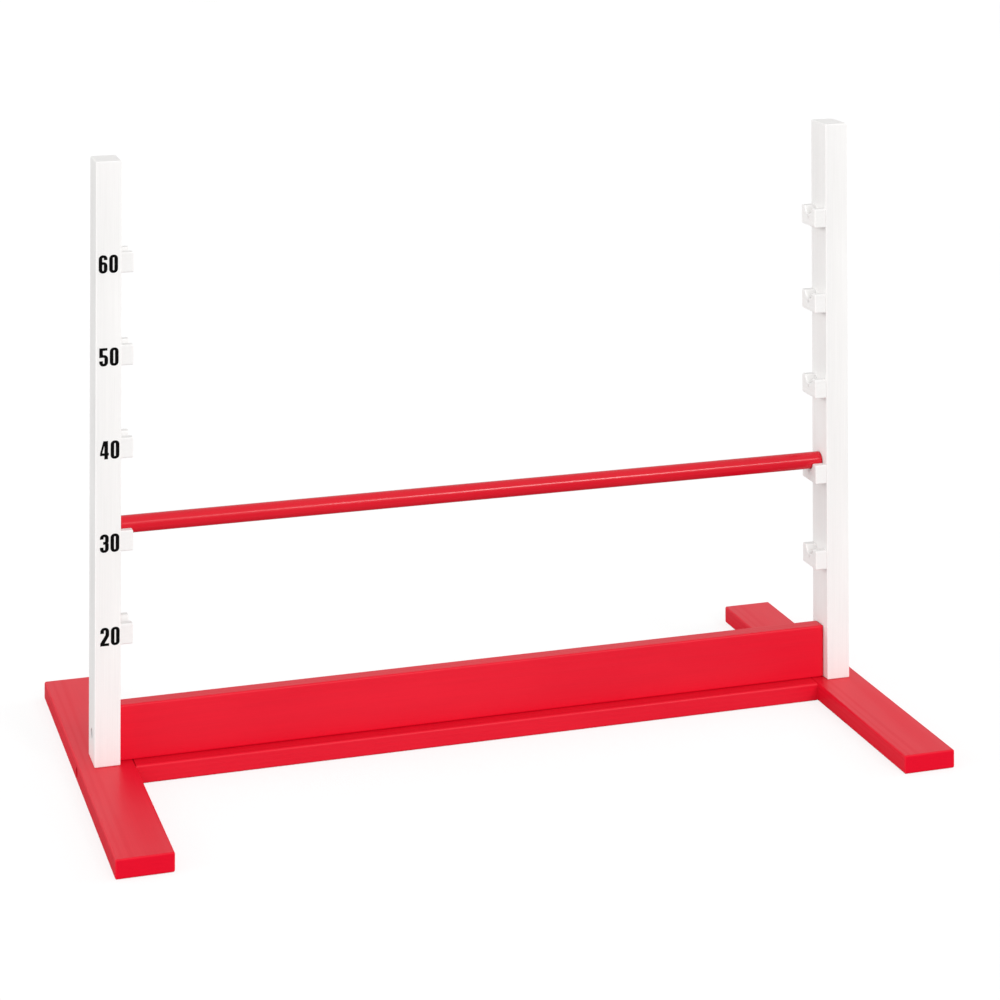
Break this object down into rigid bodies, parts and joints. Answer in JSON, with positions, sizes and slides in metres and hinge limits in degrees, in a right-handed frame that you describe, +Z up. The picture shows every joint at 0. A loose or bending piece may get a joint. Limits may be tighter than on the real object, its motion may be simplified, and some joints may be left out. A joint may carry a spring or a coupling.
{
  "type": "adjustable pole jump hurdle",
  "caption": "Free-standing wooden jump hurdle: two posts on a low base, notched rests at set heights, and a loose round pole that lifts off.",
  "frame": {"origin": "on the floor under the middle of the hurdle", "axes": "+X from the left post to the right post, along the pole; +Y from the numbered front to the back; +Z up"},
  "size_m": [0.92, 0.52, 0.67],
  "materials": {
    "red_lacquer": "satin opaque red lacquer on planed softwood",
    "white_lacquer": "satin opaque white lacquer on planed softwood",
    "red_pole_lacquer": "satin opaque red lacquer on a turned dowel",
    "black_film": "cut self-adhesive film",
    "zinc_plated_steel": "bright zinc plate",
    "white_painted_steel": "white lacquer over zinc plate"
  },
  "bodies": {
    "frame": {"left_foot_plank": "red_lacquer", "right_foot_plank": "red_lacquer", "cross_plank": "red_lacquer", "upright_board": "red_lacquer", "left_post": "white_lacquer", "right_post": "white_lacquer", "left_rest_20": "white_lacquer", "left_rest_30": "white_lacquer", "left_rest_40": "white_lacquer", "left_rest_50": "white_lacquer", "left_rest_60": "white_lacquer", "right_rest_20": "white_lacquer", "right_rest_30": "white_lacquer", "right_rest_40": "white_lacquer", "right_rest_50": "white_lacquer", "right_rest_60": "white_lacquer", "number_20": "black_film", "number_30": "black_film", "number_40": "black_film", "number_50": "black_film", "number_60": "black_film", "foot_bolts": "zinc_plated_steel", "post_bolts": "zinc_plated_steel", "foot_barrel_nuts": "zinc_plated_steel", "post_barrel_nuts": "zinc_plated_steel", "post_screws": "zinc_plated_steel", "board_screws": "zinc_plated_steel", "rest_screws": "white_painted_steel"},
    "loose_pole": {"pole": "red_pole_lacquer"}
  },
  "joints": [
    {"name": "pole_lift", "type": "slide", "parent": "frame", "child": "loose_pole", "axis": [0, -0.4226, 0.9063], "range_m": [0, 0.46]}
  ]
}
